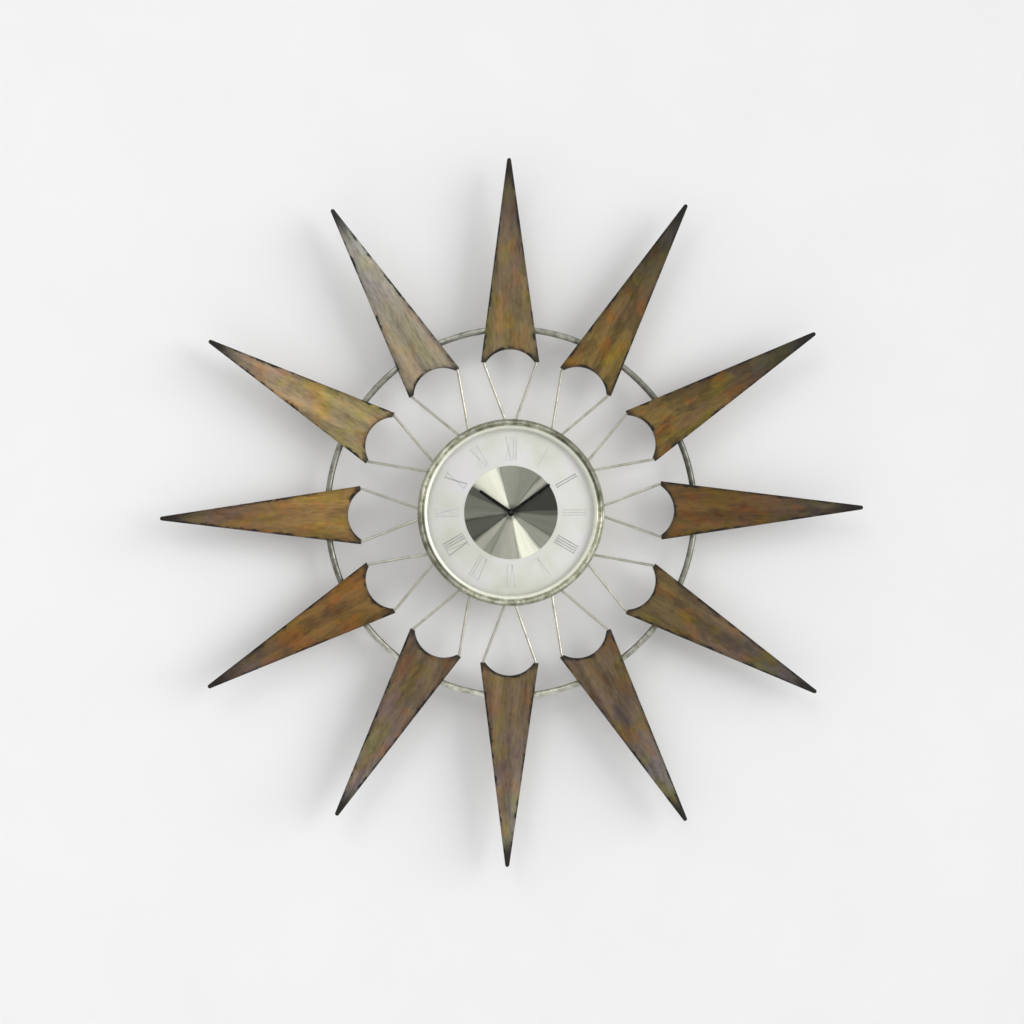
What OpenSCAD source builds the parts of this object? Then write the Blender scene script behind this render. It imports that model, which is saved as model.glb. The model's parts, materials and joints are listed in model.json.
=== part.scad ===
// Sunburst wall clock: tapered wood rays on a ring and wire spokes round a spring-driven clock.

/* [Overall] */
// Distance across opposite ray tips, mm
overall_d = 610; // [450:5:900]
// Thickness of each wood ray, mm
ray_thick = 9; // [5:0.5:14]
// How much of the uneven lean and length of the hand-fitted rays to keep
hand_share = 1; // [0:0.1:1]

/* [Ray outline] */
// Radius where the two prongs of a ray end, mm
prong_r = 129.5; // [120:0.5:134]
// Width across the two prongs, mm
prong_w = 50.2; // [48:0.2:56]
// Width of the blunt outer tip, mm
tip_w = 3.6; // [3:0.2:8]
// Radius of the fishtail hollow, mm
hollow_r = 25.2; // [24:0.2:27]
// Radius from the hands to the bottom of the hollow, mm
hollow_apex_r = 140.6; // [138:0.2:146]

/* [Ring and spokes] */
// Radius of the rod ring behind the rays, mm
ring_r = 158.4; // [154:0.2:170]
// Diameter of the ring rod, mm
ring_rod_d = 5.4; // [4:0.1:7]
// Diameter of each spoke wire, mm
wire_d = 2.3; // [1.5:0.1:3]
// Distance between the two wires of a pair at the bezel edge, mm
wire_gap_in = 9.2; // [9:0.1:14]
// Distance between the two wires of a pair at the prongs, mm
wire_gap_out = 47.6; // [40:0.2:48]

/* [Case and glass] */
// Outer radius of the drum case, mm
case_r = 72; // [70:0.5:76]
// Outer radius of the bezel, mm
bezel_r = 80; // [78:0.5:90]
// Radius of the opening in the bezel, mm
bezel_open_r = 71.7; // [60:0.1:71.8]
// Radius of curvature of the domed glass, mm
glass_curve_r = 320; // [250:10:600]

/* [Dial and hands] */
// Radius of the spun metal disc in the middle of the dial, mm
dial_disc_r = 40; // [30:0.5:50]
// Hour shown by the hands
show_hour = 10; // [0:1:11]
// Minute shown by the hands
show_minute = 9; // [0:1:59]
// Length of the hour hand from its axis, mm
hour_len = 32.5; // [25:0.5:38]
// Length of the minute hand from its axis, mm
minute_len = 41; // [35:0.5:60]

/* [Hanging] */
// Radius of the round entry of the keyhole, mm
keyhole_r = 5; // [4:0.1:6]
// Width of the narrow slot of the keyhole, mm
keyhole_slot_w = 5; // [4:0.1:5.6]

/* [Hidden] */
$fn = 72;

// Ray layout: even thirty-degree places with the small leans and trims left by hand work
ray_step = 30;
ray_lean = [-0.3, -0.3, -0.5, -0.8, 0.5, 0.4, 0.6, 0, 0, -1, -0.4, -0.6];
ray_trim = [0, 0, 1, 2, 0, 0, 0, 4, 4, 3, 6, 2];
ray_back = 25.2;
ray_tip_r = overall_d/2;

// Ring rod sits in a shallow groove across the back of every ray
groove_deep = 1.2;
ring_z = ray_back + groove_deep - ring_rod_d/2;
wire_z = ray_back - wire_d/2 - 0.05;
saddle_w = 12;
saddle_z = ring_z - ring_rod_d/2 - 1;
saddle_screw_r = [ring_r - 10, ring_r + 10];

// Case heights above the wall
case_wall = 1.2;
case_in = case_r - case_wall;
cover_z = 13.5;
cover_t = 1;
case_front = 47.3;
pan_z = 43.7;
pan_t = 1.2;
dial_z = 46.5;
dial_t = 0.8;
disc_t = 0.3;
hanger_y = 53;

// Movement heights and plates
plate_r = 48;
plate_t = 1.5;
gap = 21;
zb = 19.5;
zf = zb + gap;
post_r = 42;
run = 0.05;

// Wheel train: tooth counts, pin counts and modules
great_n = 72;
great_m = 0.6;
inter_n = 54;
inter_m = 0.5;
centre_n = 64;
centre_m = 0.45;
third_n = 60;
third_m = 0.4;
fourth_n = 70;
fourth_m = 0.32;
pin_n = 12;
pin_n_small = 8;
pin_n_escape = 7;
cannon_m = 0.5;
minute_n = 36;
hour_n = 40;
hour_m = 0.48;
minute_pin_n = 10;
escape_n = 15;
escape_r = 6;

// Arbor places seen from the front, x to the right and y up
barrel_d = 24.5;
barrel_p = [0, -barrel_d];
inter_d1 = (great_n + pin_n)/2*great_m;
inter_d2 = (inter_n + pin_n)/2*inter_m;
inter_y = (inter_d1*inter_d1 - inter_d2*inter_d2 - barrel_d*barrel_d)/(2*barrel_d);
inter_p = [sqrt(inter_d2*inter_d2 - inter_y*inter_y), inter_y];
third_p = (centre_n + pin_n_small)/2*centre_m*[cos(130), sin(130)];
fourth_p = third_p + (third_n + pin_n_small)/2*third_m*[cos(20), sin(20)];
escape_p = fourth_p + (fourth_n + pin_n_escape)/2*fourth_m*[cos(10), sin(10)];
lever_p = escape_p + 9.5*[cos(-40), sin(-40)];
balance_p = [29, 2.5];
motion_p = (minute_n + pin_n)/2*cannon_m*[cos(150), sin(150)];
click_p = barrel_p + 13.5*[cos(50), sin(50)];

// Hand angles, clockwise from twelve
minute_angle = 6*show_minute;
hour_angle = 30*show_hour + show_minute/2;

// Finishes
walnut = [0.36, 0.22, 0.14];
brass = [0.78, 0.63, 0.34];
old_gold = [0.62, 0.58, 0.44];
steel = [0.68, 0.69, 0.71];
blued = [0.25, 0.27, 0.33];
silver = [0.86, 0.86, 0.85];
black = [0.07, 0.07, 0.08];

// Work is drawn lying on its back with the front upwards, then stood up against the wall
module stand() {
  rotate([90, 0, 0])
    children();
}

module at(p) {
  translate([p[0], p[1], 0])
    children();
}

module slab(z, h, r) {
  translate([0, 0, z])
    cylinder(r = r, h = h);
}

module tube(z, h, r_out, r_in) {
  difference() {
    slab(z, h, r_out);
    slab(z - 1, h + 2, r_in);
  }
}

function turned(p, a) = [p[0]*cos(a) - p[1]*sin(a), p[0]*sin(a) + p[1]*cos(a)];
function heading(from, to) = atan2(to[1] - from[1], to[0] - from[0]);

// Place a ray-related piece: k counts clockwise from twelve
module at_ray(k) {
  rotate([0, 0, -(k*ray_step + ray_lean[k]*hand_share)])
    children();
}

// ---- wood rays ----

module ray_outline(trim) {
  tip_c = ray_tip_r - trim - tip_w/2;
  difference() {
    union() {
      polygon([[-prong_w/2, prong_r], [prong_w/2, prong_r], [tip_w/2, tip_c], [-tip_w/2, tip_c]]);
      translate([0, tip_c])
        circle(r = tip_w/2, $fn = 24);
    }
    translate([0, hollow_apex_r - hollow_r])
      circle(r = hollow_r, $fn = 96);
  }
}

module ray(k) {
  color(walnut)
    stand()
      at_ray(k)
        difference() {
          translate([0, 0, ray_back])
            linear_extrude(height = ray_thick)
              ray_outline(ray_trim[k]*hand_share);
          tube(ray_back - 1, 1 + groove_deep, ring_r + ring_rod_d/2 + 0.1,
            ring_r - ring_rod_d/2 - 0.1);
          for (r = saddle_screw_r)
            at([0, r])
              slab(ray_back - 1, 6.6, 1.2);
        }
}

module ray_01() ray(0);
module ray_02() ray(1);
module ray_03() ray(2);
module ray_04() ray(3);
module ray_05() ray(4);
module ray_06() ray(5);
module ray_07() ray(6);
module ray_08() ray(7);
module ray_09() ray(8);
module ray_10() ray(9);
module ray_11() ray(10);
module ray_12() ray(11);

// ---- ring, wires and fixings ----

wire_slope = (wire_gap_out - wire_gap_in)/2/(prong_r + 2 - bezel_r);
wire_root = [max(wire_gap_in/2 - wire_slope*(bezel_r - case_r + 0.8), 0.6*wire_d), case_r - 0.8];
wire_bend = [wire_gap_out/2, prong_r + 2];
wire_end_x = wire_gap_out/2 - 4.6;
wire_end_r = ring_r - ring_rod_d/2 - 0.15;
wire_end = [wire_end_x, sqrt(wire_end_r*wire_end_r - wire_end_x*wire_end_x)];

function flip(p, s) = [s*p[0], p[1]];

module rod(a, b, r) {
  d = b - a;
  translate([a[0], a[1], 0])
    rotate([0, 0, atan2(d[1], d[0])])
      rotate([0, 90, 0])
        cylinder(r = r, h = norm(d));
}

// Straight part of every spoke, from the case wall to the given end
module spokes_to(end) {
  translate([0, 0, wire_z])
    for (k = [0:11])
      at_ray(k)
        for (s = [-1, 1])
          rod(flip(wire_root, s), flip(end, s), wire_d/2);
}

module spoke_wires() {
  color(brass)
    stand() {
      spokes_to(wire_bend + 0.4*(wire_bend - wire_root)/norm(wire_bend - wire_root));
      translate([0, 0, wire_z])
        for (k = [0:11])
          at_ray(k)
            for (s = [-1, 1])
              rod(flip(wire_bend, s), flip(wire_end, s), wire_d/2);
    }
}

module outer_ring() {
  color(brass)
    stand()
      translate([0, 0, ring_z])
        rotate_extrude($fn = 144)
          translate([ring_r, 0])
            circle(r = ring_rod_d/2, $fn = 32);
}

module ray_saddles() {
  foot = 7;
  inner = ring_rod_d/2 + 1.6;
  color(brass)
    stand()
      for (k = [0:11])
        at_ray(k)
          difference() {
            translate([-saddle_w/2, ring_r - inner - 1 - foot, saddle_z])
              cube([saddle_w, 2*(inner + 1 + foot), ray_back - saddle_z]);
            translate([-saddle_w, ring_r - inner, saddle_z + 1])
              cube([2*saddle_w, 2*inner, ray_back]);
            for (s = [-1, 1])
              translate([-saddle_w, ring_r + s*(inner + 1 + foot/2 + 0.5) - foot/2 - 0.5,
                saddle_z - 1])
                cube([2*saddle_w, foot + 1, ray_back - saddle_z]);
            for (r = saddle_screw_r)
              at([0, r])
                slab(saddle_z - 1, 9, 1.2);
          }
}

module ray_screws() {
  color(steel)
    stand()
      for (k = [0:11])
        at_ray(k)
          for (r = saddle_screw_r)
            at([0, r])
              difference() {
                union() {
                  slab(ray_back - 1, 6.5, 1.2);
                  slab(ray_back - 2.4, 1.4, 2.3);
                }
                translate([-3, -0.3, ray_back - 3])
                  cube([6, 0.6, 1.2]);
              }
}

// ---- case, bezel, glass and dial ----

module case_drum() {
  color(brass)
    stand()
      difference() {
        union() {
          tube(0, case_front, case_r, case_in);
          tube(0, 1.4, case_r, case_r - 3);
          tube(cover_z + cover_t, 1.2, case_r - 0.6, case_in - 4.4);
        }
        for (a = [45:90:315])
          rotate([0, 0, a])
            at([case_in - 2.4, 0])
              slab(cover_z, 5, 1);
        spokes_to(wire_root + 0.06*(wire_bend - wire_root));
      }
}

module dial_pan() {
  color(steel)
    stand()
      difference() {
        union() {
          tube(pan_z, pan_t, case_in, 24);
          tube(pan_z, dial_z - pan_z, case_in, case_in - 3.8);
        }
        for (a = [45:90:315])
          rotate([0, 0, a])
            at([post_r, 0])
              slab(pan_z - 1, 4, 1.5);
        for (s = [-1, 1])
          at([54*s, 0])
            slab(pan_z - 1, 4, 1);
      }
}

module bezel() {
  f = case_front;
  color(old_gold)
    stand()
      rotate_extrude($fn = 144)
        polygon([[case_r, f - 4], [case_r + 1.2, f - 4], [case_r + 1.2, f - 0.6],
          [bezel_r - 0.8, f - 0.6], [bezel_r, f + 0.2], [bezel_r, f + 1.8],
          [bezel_r - 1.2, f + 3.3], [bezel_r - 2.6, f + 3.7], [bezel_r - 3.2, f + 4.6],
          [bezel_r - 5.6, f + 5.4], [bezel_open_r + 0.9, f + 5.4], [bezel_open_r, f + 4.7],
          [bezel_open_r, f + 3.4], [case_r + 2.2, f + 3.4], [case_r + 2.2, f + 0.8],
          [case_r, f + 0.8]]);
}

module lens() {
  rim_r = case_r + 2;
  t = 2;
  r_in = glass_curve_r - t;
  centre_z = case_front + 0.8 - sqrt(r_in*r_in - rim_r*rim_r);
  color([0.8, 0.88, 0.92, 0.35])
    stand()
      intersection() {
        slab(case_front, 30, rim_r);
        difference() {
          translate([0, 0, centre_z])
            sphere(r = glass_curve_r, $fn = 180);
          translate([0, 0, centre_z])
            sphere(r = r_in, $fn = 180);
        }
      }
}

module dial() {
  color(silver)
    stand() {
      tube(dial_z, dial_t, case_in, 3.4);
      for (s = [-1, 1])
        at([54*s, 0])
          slab(pan_z - 2, dial_z - pan_z + 2.2, 1);
    }
}

module dial_disc() {
  color(steel)
    stand()
      tube(dial_z + dial_t, disc_t, dial_disc_r, 3.4);
}

// Tapered baton hand pointing to twelve: boss and blade
module baton(z, len, w_in, w_out, boss_r, bore_r) {
  difference() {
    union() {
      slab(z, 0.9, boss_r);
      translate([0, 0, z + 0.15])
        linear_extrude(height = 0.5)
          polygon([[-w_in/2, 0], [w_in/2, 0], [w_in/2, 4], [w_out/2, len - 0.5],
            [0, len], [-w_out/2, len - 0.5], [-w_in/2, 4]]);
    }
    slab(z - 1, 3, bore_r);
  }
}

module hour_hand() {
  color(black)
    stand()
      rotate([0, 0, -hour_angle])
        baton(48.2, hour_len, 3, 2.5, 3.1, 2.5);
}

module minute_hand() {
  color(black)
    stand()
      rotate([0, 0, -minute_angle])
        baton(50, minute_len, 2.8, 2.2, 2.8, 1.9);
}

module hand_nut() {
  color(silver)
    stand()
      tube(50.9, 1, 1.7, 1.2);
}

// ---- back cover and hanging ----

module back_cover() {
  color(brass)
    stand()
      difference() {
        slab(cover_z, cover_t, case_in);
        for (a = [45:90:315])
          rotate([0, 0, a])
            at([case_in - 2.4, 0])
              slab(cover_z - 1, 3, 1);
        slab(cover_z - 1, 3, 3);
        at(barrel_p)
          slab(cover_z - 1, 3, 5);
        translate([-8, hanger_y - 7, cover_z - 1])
          cube([16, 20, 3]);
        for (s = [-1, 1])
          at([12*s, hanger_y + 3])
            slab(cover_z - 1, 3, 1.2);
        for (k = [-3:3])
          translate([5*k - 0.8, -60, cover_z - 1])
            cube([1.6, 8, 3]);
      }
}

module cover_screws() {
  color(steel)
    stand()
      for (a = [45:90:315])
        rotate([0, 0, a])
          at([case_in - 2.4, 0])
            difference() {
              union() {
                slab(cover_z, 2.2, 1);
                slab(cover_z - 1, 1, 1.9);
              }
              translate([-3, -0.25, cover_z - 1.5])
                cube([6, 0.5, 1]);
            }
}

module hanger_plate() {
  color(steel)
    stand()
      difference() {
        translate([-16, hanger_y - 8, cover_z - 1.5])
          cube([32, 22, 1.5]);
        at([0, hanger_y])
          slab(cover_z - 3, 5, keyhole_r);
        translate([-keyhole_slot_w/2, hanger_y, cover_z - 3])
          cube([keyhole_slot_w, 8, 5]);
        at([0, hanger_y + 8])
          slab(cover_z - 3, 5, keyhole_slot_w/2);
        for (s = [-1, 1])
          at([12*s, hanger_y + 3])
            slab(cover_z - 3, 5, 1.2);
      }
}

module hanger_rivets() {
  color(steel)
    stand()
      for (s = [-1, 1])
        at([12*s, hanger_y + 3]) {
          slab(cover_z - 1.5, cover_t + 1.5, 1.2);
          slab(cover_z - 2.3, 0.8, 2.2);
          slab(cover_z + cover_t, 0.6, 2);
        }
}

module set_knob() {
  color(brass)
    stand()
      difference() {
        union() {
          slab(4, 6, 7);
          slab(10, 2.5, 2.2);
        }
        for (a = [0:15:345])
          rotate([0, 0, a])
            translate([6.6, -0.4, 3])
              cube([1, 0.8, 8]);
        slab(5.5, 10, 1.2);
      }
}

module winding_key() {
  color(brass)
    stand()
      at(barrel_p)
        difference() {
          union() {
            slab(8, 5, 3.6);
            translate([-11, -1.2, 2.5])
              cube([22, 2.4, 6]);
          }
          slab(9, 6, 2.2);
          for (s = [-1, 1])
            translate([7*s, 3, 5.5])
              rotate([90, 0, 0])
                cylinder(r = 1.8, h = 6);
        }
}

// ---- movement frame ----

bearings = [inter_p, third_p, fourth_p, escape_p, lever_p, balance_p];

module plate(z) {
  difference() {
    slab(z, plate_t, plate_r);
    for (a = [45:90:315])
      rotate([0, 0, a])
        at([post_r, 0])
          slab(z - 1, 4, 1.5);
    for (p = bearings)
      at(p)
        slab(z - 1, 4, 0.7 + run);
    slab(z - 1, 4, 1.2 + run);
    at(barrel_p)
      slab(z - 1, 4, 2.2 + run);
    at([-30, -4])
      slab(z - 1, 4, 7);
    at([-30, 22])
      slab(z - 1, 4, 4);
  }
}

module front_plate() {
  color(brass)
    stand()
      difference() {
        plate(zf);
        at(motion_p)
          slab(zf - 1, 4, 0.8);
        at(balance_p + [5.9, 0])
          slab(zf - 1, 4, 0.6);
      }
}

module back_plate() {
  color(brass)
    stand()
      difference() {
        plate(zb - plate_t);
        at(click_p)
          slab(zb - 3, 5, 0.9);
        at(barrel_p + [-4, 18])
          slab(zb - 3, 5, 0.8);
      }
}

module pillars() {
  color(brass)
    stand()
      for (a = [45:90:315])
        rotate([0, 0, a])
          at([post_r, 0])
            difference() {
              union() {
                slab(zb, gap, 3);
                slab(zb - plate_t, plate_t + 1, 1.5);
              }
              slab(zf - 5, 6, 1.5);
            }
}

module pan_spacers() {
  color(brass)
    stand()
      for (a = [45:90:315])
        rotate([0, 0, a])
          at([post_r, 0])
            tube(zf + plate_t, pan_z - zf - plate_t, 3.5, 1.5);
}

module movement_screws() {
  color(steel)
    stand()
      for (a = [45:90:315])
        rotate([0, 0, a])
          at([post_r, 0])
            difference() {
              union() {
                slab(zf - 5, pan_z + pan_t - zf + 5, 1.5);
                slab(pan_z + pan_t, 1.2, 2.8);
              }
              translate([-4, -0.3, pan_z + pan_t + 0.6])
                cube([8, 0.6, 2]);
            }
}

// ---- wheels ----

pin_k = 0.6;
air_k = 0.09;

// One point of a tooth flank: path of a pinion pin, set off by the pin radius and some air
function pin_path(wr, pr, t) = [(wr + pr)*cos(t) - pr*cos((wr + pr)/pr*t),
  (wr + pr)*sin(t) - pr*sin((wr + pr)/pr*t)];
function set_off(p, c, d) = p + d*(c - p)/norm(c - p);
function flank(wr, pr, m, a) = set_off(pin_path(wr, pr, a*pr/wr),
  wr*[cos(a*pr/wr), sin(a*pr/wr)], (pin_k + air_k)*m);
function mirrored(p, a) = norm(p)*[cos(2*a - atan2(p[1], p[0])), sin(2*a - atan2(p[1], p[0]))];

// Toothed blank with a tooth space on the positive x axis
module toothed(n, pins, m, z, t) {
  wr = n*m/2;
  pr = pins*m/2;
  half = 180/n;
  root = wr - 0.85*m;
  low = 2*(pin_k + air_k)/PI*half;
  side = [for (f = [0.12, 0.45, 0.75, 0.98]) flank(wr, pr, m, f*360/pins)];
  one = concat([root*[cos(low), sin(low)]], side,
    [for (i = [3:-1:0]) mirrored(side[i], half)],
    [root*[cos(2*half - low), sin(2*half - low)]]);
  translate([0, 0, z])
    linear_extrude(height = t)
      polygon([for (k = [0:n - 1]) for (p = one) turned(p, 2*half*k)]);
}

// Windows that leave a hub, four arms and a rim
module crossings(z, t, r_out, r_in, arm) {
  difference() {
    tube(z, t, r_out, r_in);
    for (a = [45, 135])
      rotate([0, 0, a])
        translate([-r_out - 1, -arm/2, z - 1])
          cube([2*r_out + 2, arm, t + 2]);
  }
}

// Pins between two end discs with a pin on the positive x axis
module lantern(pins, m, z, h) {
  r = pins*m/2;
  for (k = [0:pins - 1])
    rotate([0, 0, 360/pins*k])
      at([r, 0])
        slab(z - 0.2, h + 0.4, pin_k*m, $fn = 24);
  slab(z - 0.4, 0.4, r + 0.9*m);
  slab(z + h, 0.4, r + 0.9*m);
}

// Arbor with a thin pivot at each plate
module arbor(r) {
  slab(zb + 0.3, gap - 0.6, r);
  slab(zb - plate_t, gap + 2*plate_t, 0.7);
}

module barrel() {
  color(brass)
    stand()
      at(barrel_p)
        difference() {
          union() {
            rotate([0, 0, heading(barrel_p, inter_p)])
              toothed(great_n, pin_n, great_m, zb + 1, 1.4);
            tube(zb + 2.3, 12.1, 20, 18.8);
          }
          slab(zb, 5, 3 + run);
        }
}

module barrel_cap() {
  color(brass)
    stand()
      at(barrel_p)
        tube(zb + 13.6, 0.8, 18.8, 3 + run);
}

module barrel_arbor() {
  color(steel)
    stand()
      at(barrel_p) {
        slab(zb + 0.3, gap - 0.6, 3);
        slab(9, zf + plate_t - 9, 2.2);
      }
}

// Flat strip wound in a spiral from r_in to r_out
module spiral(z, h, r_in, r_out, turns, t) {
  steps = 24*turns;
  pitch = (r_out - r_in)/steps;
  translate([0, 0, z])
    linear_extrude(height = h)
      polygon(concat(
        [for (i = [0:steps]) (r_in + pitch*i)*[cos(15*i), sin(15*i)]],
        [for (i = [steps:-1:0]) (r_in + t + pitch*i)*[cos(15*i), sin(15*i)]]));
}

module mainspring() {
  color(blued)
    stand()
      at(barrel_p)
        spiral(zb + 3, 10, 3.6, 18.2, 9, 0.4);
}

ratchet_n = 24;
ratchet_z = zb - 3.2;

module ratchet_wheel() {
  r = 8.5;
  deep = 1;
  step = 360/ratchet_n;
  color(steel)
    stand()
      at(barrel_p)
        rotate([0, 0, heading(barrel_p, click_p)])
          difference() {
            translate([0, 0, ratchet_z])
              linear_extrude(height = 1.4)
                polygon([for (k = [0:ratchet_n - 1]) for (q = [[r - deep, 0.5], [r, step - 0.5]])
                  q[0]*[cos(step*k + q[1]), sin(step*k + q[1])]]);
            slab(ratchet_z - 1, 4, 2.2);
          }
}

module click() {
  a = heading(barrel_p, click_p);
  tip = barrel_p + 8.1*[cos(a - 20), sin(a - 20)];
  heel = barrel_p + 9.6*[cos(a - 22), sin(a - 22)];
  back = click_p + 2*[cos(a - 60), sin(a - 60)];
  near = click_p + 2*[cos(a + 200), sin(a + 200)];
  color(steel)
    stand()
      difference() {
        union() {
          at(click_p)
            slab(ratchet_z, 1.4, 2.4);
          translate([0, 0, ratchet_z])
            linear_extrude(height = 1.4)
              polygon([near, tip, heel, back]);
        }
        at(click_p)
          slab(ratchet_z - 1, 4, 0.9 + run);
      }
}

module click_stud() {
  color(steel)
    stand()
      at(click_p) {
        slab(ratchet_z - 0.4, zb - ratchet_z + 0.4, 0.9);
        slab(ratchet_z - 0.9, 0.5, 1.8);
      }
}

module click_spring() {
  a = barrel_p + [-4, 18];
  color(blued)
    stand() {
      at(a)
        slab(ratchet_z, zb - ratchet_z, 0.8);
      translate([0, 0, ratchet_z + 0.3])
        linear_extrude(height = 0.8)
          polygon([a + [0, 0.7], a + [0, 0.35], click_p + [-1.6, 4.2], click_p + [1.6, 3.4],
            click_p + [1.6, 3.8], click_p + [-1.6, 4.6]]);
    }
}

module intermediate_wheel() {
  z = zb + 15.6;
  color(brass)
    stand()
      at(inter_p) {
        arbor(1.2);
        rotate([0, 0, heading(inter_p, barrel_p)])
          lantern(pin_n, great_m, zb + 0.8, 1.8);
        difference() {
          rotate([0, 0, heading(inter_p, [0, 0])])
            toothed(inter_n, pin_n, inter_m, z, 1);
          crossings(z - 1, 3, 11, 3.2, 2);
        }
        slab(z - 1, 1.2, 2.4);
      }
}

module centre_wheel() {
  z = zb + 18.4;
  color(brass)
    stand() {
      slab(zb + 0.3, gap - 0.6, 1.5);
      slab(5.5, 46, 1.2);
      rotate([0, 0, heading([0, 0], inter_p)])
        lantern(pin_n, inter_m, zb + 15.2, 1.8);
      difference() {
        rotate([0, 0, heading([0, 0], third_p)])
          toothed(centre_n, pin_n_small, centre_m, z, 1);
        crossings(z - 1, 3, 12, 3, 2);
      }
    }
}

module third_wheel() {
  z = zb + 12;
  color(brass)
    stand()
      at(third_p) {
        arbor(1);
        rotate([0, 0, heading(third_p, [0, 0])])
          lantern(pin_n_small, centre_m, zb + 18, 1.8);
        difference() {
          rotate([0, 0, heading(third_p, fourth_p)])
            toothed(third_n, pin_n_small, third_m, z, 0.8);
          crossings(z - 1, 3, 10, 2.6, 1.6);
        }
        slab(z - 1, 1.2, 2);
      }
}

module fourth_wheel() {
  z = zb + 7;
  color(brass)
    stand()
      at(fourth_p) {
        arbor(0.9);
        rotate([0, 0, heading(fourth_p, third_p)])
          lantern(pin_n_small, third_m, zb + 11.6, 1.6);
        difference() {
          rotate([0, 0, heading(fourth_p, escape_p)])
            toothed(fourth_n, pin_n_escape, fourth_m, z, 0.8);
          crossings(z - 1, 3, 9.4, 2.4, 1.4);
        }
        slab(z - 1, 1.2, 1.8);
      }
}

module escape_wheel() {
  z = zb + 12;
  step = 360/escape_n;
  color(brass)
    stand()
      at(escape_p) {
        slab(zb + 0.3, 5.8, 0.8);
        slab(zb + 0.3, gap - 0.6, 0.55);
        slab(zb + 9, gap - 9.3, 0.8);
        slab(zb - plate_t, plate_t + 1, 0.7);
        slab(zf - 1, plate_t + 1, 0.7);
        rotate([0, 0, heading(escape_p, fourth_p)])
          lantern(pin_n_escape, fourth_m, zb + 6.6, 1.6);
        difference() {
          translate([0, 0, z])
            linear_extrude(height = 0.6)
              polygon([for (k = [0:escape_n - 1])
                for (q = [[4.6, -9], [escape_r, 0], [escape_r - 0.1, 1.5], [4.6, 3]])
                  q[0]*[cos(step*k + q[1]), sin(step*k + q[1])]]);
          crossings(z - 1, 3, 3.9, 1.8, 1);
        }
      }
}

module pallet_lever() {
  z = zb + 12;
  a = heading(lever_p, escape_p);
  b = heading(lever_p, balance_p);
  color(steel)
    stand()
      at(lever_p) {
        arbor(0.9);
        translate([0, 0, z])
          linear_extrude(height = 0.7)
            rotate([0, 0, a])
              polygon([[0, -1.4], [4.2, -4.6], [3.4, -5], [-1.4, 0], [3.4, 5], [4.2, 4.6], [0, 1.4]]);
        for (s = [-1, 1])
          rotate([0, 0, a])
            at([3.76, 4.5*s])
              slab(z - 0.4, 1.5, 0.35, $fn = 24);
        translate([0, 0, z])
          linear_extrude(height = 0.7)
            rotate([0, 0, b])
              polygon([[0, -0.8], [8.4, -0.5], [9.6, -1], [9.6, -0.5], [9, 0], [9.6, 0.5],
                [9.6, 1], [8.4, 0.5], [0, 0.8]]);
      }
}

module balance_wheel() {
  z = zb + 8;
  color(brass)
    stand()
      at(balance_p) {
        arbor(0.6);
        tube(z, 1.2, 8.5, 7.4);
        slab(z, 1.2, 1.6);
        translate([-7.8, -0.6, z + 0.2])
          cube([15.6, 1.2, 0.8]);
        slab(zb + 11.8, 0.8, 1.6);
        slab(zb + 13.8, 1.4, 1.1);
      }
}

module hairspring() {
  color(blued)
    stand()
      at(balance_p)
        spiral(zb + 14.1, 0.8, 1.5, 5.4, 5, 0.18);
}

module hairspring_stud() {
  color(steel)
    stand()
      at(balance_p + [5.9, 0])
        difference() {
          union() {
            slab(zb + 13.8, gap - 13.8 + plate_t, 0.6);
            translate([-0.4, -0.8, zb + 13.6])
              cube([1.2, 1.6, 1.8]);
          }
          translate([-1.4, -2, zb + 14.1])
            cube([1.2, 4, 0.8]);
        }
}

// ---- motion work between the front plate and the dial ----

module cannon_pinion() {
  z = zf + plate_t + 0.8;
  color(brass)
    stand()
      difference() {
        union() {
          rotate([0, 0, heading([0, 0], motion_p)])
            lantern(pin_n, cannon_m, z, 1.2);
          slab(z - 0.4, 50.9 - z + 0.4, 1.9);
        }
        slab(z - 2, 20, 1.2);
      }
}

module motion_stud() {
  color(steel)
    stand()
      at(motion_p) {
        slab(zf, plate_t + 0.1, 0.8);
        slab(zf + plate_t, 4.3, 1);
        slab(zf + plate_t, 0.6, 1.8);
      }
}

module minute_wheel() {
  z = zf + plate_t + 1;
  r = minute_pin_n*hour_m/2;
  color(brass)
    stand()
      at(motion_p)
        difference() {
          union() {
            rotate([0, 0, heading(motion_p, [0, 0])])
              toothed(minute_n, pin_n, cannon_m, z, 0.8);
            rotate([0, 0, heading(motion_p, [0, 0])])
              for (k = [0:minute_pin_n - 1])
                rotate([0, 0, 360/minute_pin_n*k])
                  at([r, 0])
                    slab(z + 0.4, 2.8, pin_k*hour_m, $fn = 24);
            slab(z + 2.9, 0.4, r + 0.9*hour_m);
          }
          slab(z - 1, 6, 1 + run);
        }
}

module hour_wheel() {
  z = zf + plate_t + 2.7;
  color(brass)
    stand()
      difference() {
        union() {
          difference() {
            rotate([0, 0, heading([0, 0], motion_p)])
              toothed(hour_n, minute_pin_n, hour_m, z, 0.7);
            crossings(z - 1, 3, 7.4, 3.4, 1.8);
          }
          slab(z, 49.1 - z, 2.5);
        }
        slab(z - 1, 12, 1.9 + run);
      }
}

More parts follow.
